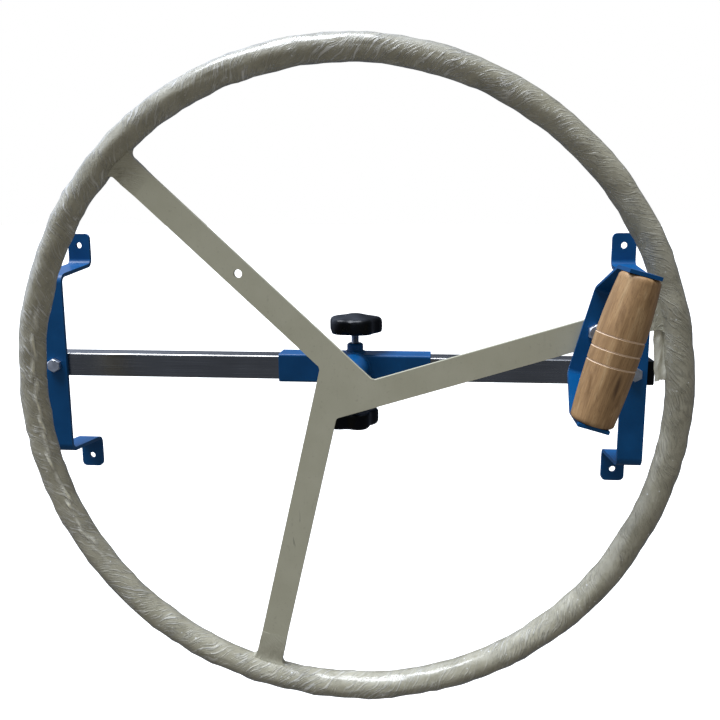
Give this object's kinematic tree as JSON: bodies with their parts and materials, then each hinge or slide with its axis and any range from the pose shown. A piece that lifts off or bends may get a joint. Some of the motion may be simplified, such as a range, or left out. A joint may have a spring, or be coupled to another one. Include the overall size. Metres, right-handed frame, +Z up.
{
  "type": "wall-mounted shoulder exercise wheel",
  "caption": "Large tube rim on flat spokes turning on a carriage that slides along a square rail between two wall brackets, with a wooden grip and clamping knobs.",
  "frame": {"origin": "on the wall plane, straight behind the wheel's axle at rest", "axes": "+X along the rail to the right, +Y into the wall (the wheel is at -Y), +Z up"},
  "size_m": [0.6552, 0.2745, 0.6248],
  "materials": {
    "blue_paint": "satin blue powder coat",
    "grey_paint": "matt grey-green primer paint",
    "stretch_film": "wrinkled clear stretch film over the grey tube",
    "rail_stainless": "brushed stainless tube, drawn along its length",
    "zinc_plate": "bright zinc plated fasteners",
    "bearing_steel": "ground bearing steel",
    "black_plastic": "moulded black plastic",
    "brake_nylon": "nylon brake pad",
    "turned_wood": "turned hardwood, thin clear finish, three cut grooves"
  },
  "bodies": {
    "wall_frame": {"bracket_left": "blue_paint", "bracket_right": "blue_paint", "rail_tube": "rail_stainless", "rail_plug_left": "black_plastic", "rail_plug_right": "black_plastic", "rail_bolt_left": "zinc_plate", "rail_bolt_right": "zinc_plate", "rail_nut_left": "zinc_plate", "rail_nut_right": "zinc_plate", "rail_washer_left": "zinc_plate", "rail_washer_right": "zinc_plate"},
    "carriage": {"slide_sleeve": "blue_paint", "bearing_housing": "blue_paint", "clamp_boss": "blue_paint", "brake_boss": "blue_paint", "bearing_front": "bearing_steel", "bearing_rear": "bearing_steel", "housing_snap_ring": "bearing_steel"},
    "wheel": {"hub_disc": "grey_paint", "spoke_handle": "grey_paint", "spoke_upper": "grey_paint", "spoke_lower": "grey_paint", "rim_tube": "grey_paint", "rim_film_top": "stretch_film", "rim_film_left": "stretch_film", "rim_film_bottom": "stretch_film", "axle_shaft": "bearing_steel", "axle_collar": "bearing_steel", "axle_spacer": "bearing_steel", "axle_snap_ring": "bearing_steel", "handle_bracket": "blue_paint", "handle_bolt": "zinc_plate", "handle_washer": "zinc_plate", "handle_nut": "zinc_plate", "grip_pin": "zinc_plate"},
    "grip_barrel": {"grip": "turned_wood"},
    "clamp_screw": {"clamp_stud": "zinc_plate"},
    "clamp_handknob": {"clamp_knob": "black_plastic"},
    "brake_screw": {"brake_stud": "zinc_plate", "brake_pad": "brake_nylon"},
    "brake_handknob": {"brake_knob": "black_plastic"}
  },
  "joints": [
    {"name": "carriage_slide", "type": "slide", "parent": "wall_frame", "child": "carriage", "axis": [1, 0, 0], "range_m": [-0.23, 0.19]},
    {"name": "wheel_spin", "type": "hinge", "parent": "carriage", "child": "wheel", "pos_m": [0, -0.1665, 0], "axis": [0, -1, 0], "continuous": true},
    {"name": "grip_spin", "type": "hinge", "parent": "wheel", "child": "grip_barrel", "pos_m": [0.22407, -0.2553, 0.05453], "axis": [0.2647, 0, 0.9643], "continuous": true},
    {"name": "clamp_screw_travel", "type": "slide", "parent": "carriage", "child": "clamp_screw", "axis": [0, 0, 1], "range_m": [0, 0.0025]},
    {"name": "clamp_knob_turn", "type": "hinge", "parent": "clamp_screw", "child": "clamp_handknob", "pos_m": [0, -0.0612, 0.05], "axis": [0, 0, 1], "range_deg": [0, 720]},
    {"name": "brake_screw_travel", "type": "slide", "parent": "carriage", "child": "brake_screw", "axis": [0, 0, -1], "range_m": [0, 0.0025]},
    {"name": "brake_knob_turn", "type": "hinge", "parent": "brake_screw", "child": "brake_handknob", "pos_m": [0, -0.1095, -0.05], "axis": [0, 0, -1], "range_deg": [0, 720]}
  ],
  "couplings": [
    {"joint": "clamp_screw_travel", "follows": "clamp_knob_turn", "m_per_rad": 0.00019894},
    {"joint": "brake_screw_travel", "follows": "brake_knob_turn", "m_per_rad": 0.00019894}
  ]
}
